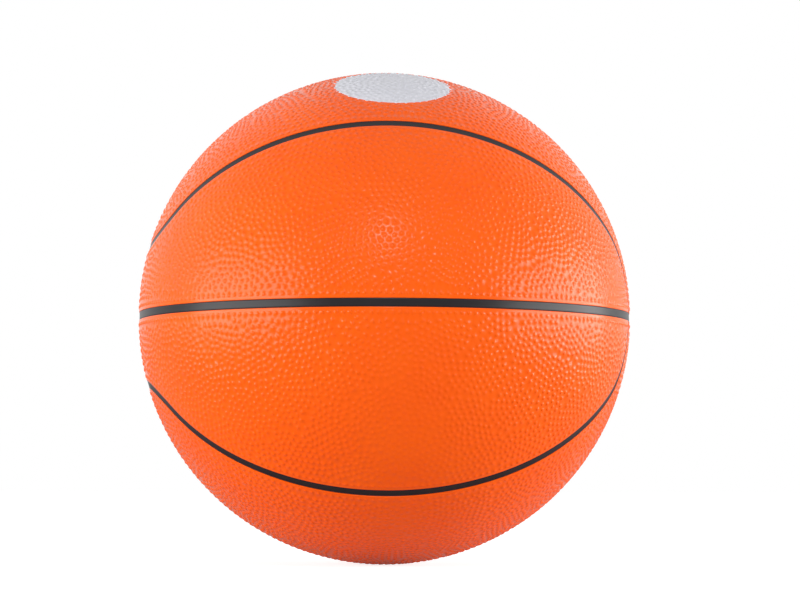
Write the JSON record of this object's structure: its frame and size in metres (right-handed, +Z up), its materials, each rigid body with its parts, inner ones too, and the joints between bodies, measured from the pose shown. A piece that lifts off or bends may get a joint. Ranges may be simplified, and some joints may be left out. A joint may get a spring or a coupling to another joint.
{
  "type": "basketball",
  "caption": "Full-size nylon-wound basketball with pebbled rubber panels, recessed black channels, a plain white disc and a needle valve.",
  "frame": {"origin": "centre of the ball", "axes": "+Z up; the ball's front, which carries the curved channels seen in the picture, looks along -Y; the seam poles, where the straight channels cross, lie on the X axis"},
  "size_m": [0.2418, 0.2418, 0.2418],
  "materials": {
    "cover": "satin",
    "channel_rubber": "satin",
    "carcass_rubber": "matte",
    "winding_thread": "matte",
    "bladder_rubber": "satin",
    "valve_rubber": "matte",
    "white_print": "satin"
  },
  "bodies": {
    "root": {"panel_front_upper": "cover", "panel_front_lower": "cover", "panel_back_upper": "cover", "panel_back_lower": "cover", "panel_top_front": "cover", "panel_top_back": "cover", "panel_bottom_front": "cover", "panel_bottom_back": "cover", "seam_equator": "channel_rubber", "seam_meridian_top": "channel_rubber", "seam_meridian_bottom": "channel_rubber", "seam_front_upper": "channel_rubber", "seam_front_lower": "channel_rubber", "seam_back_upper": "channel_rubber", "seam_back_lower": "channel_rubber", "carcass": "carcass_rubber", "nylon_winding": "winding_thread", "bladder": "bladder_rubber", "valve_patch": "valve_rubber", "valve_housing": "valve_rubber", "valve_plug": "valve_rubber", "print_disc": "white_print"}
  },
  "joints": []
}
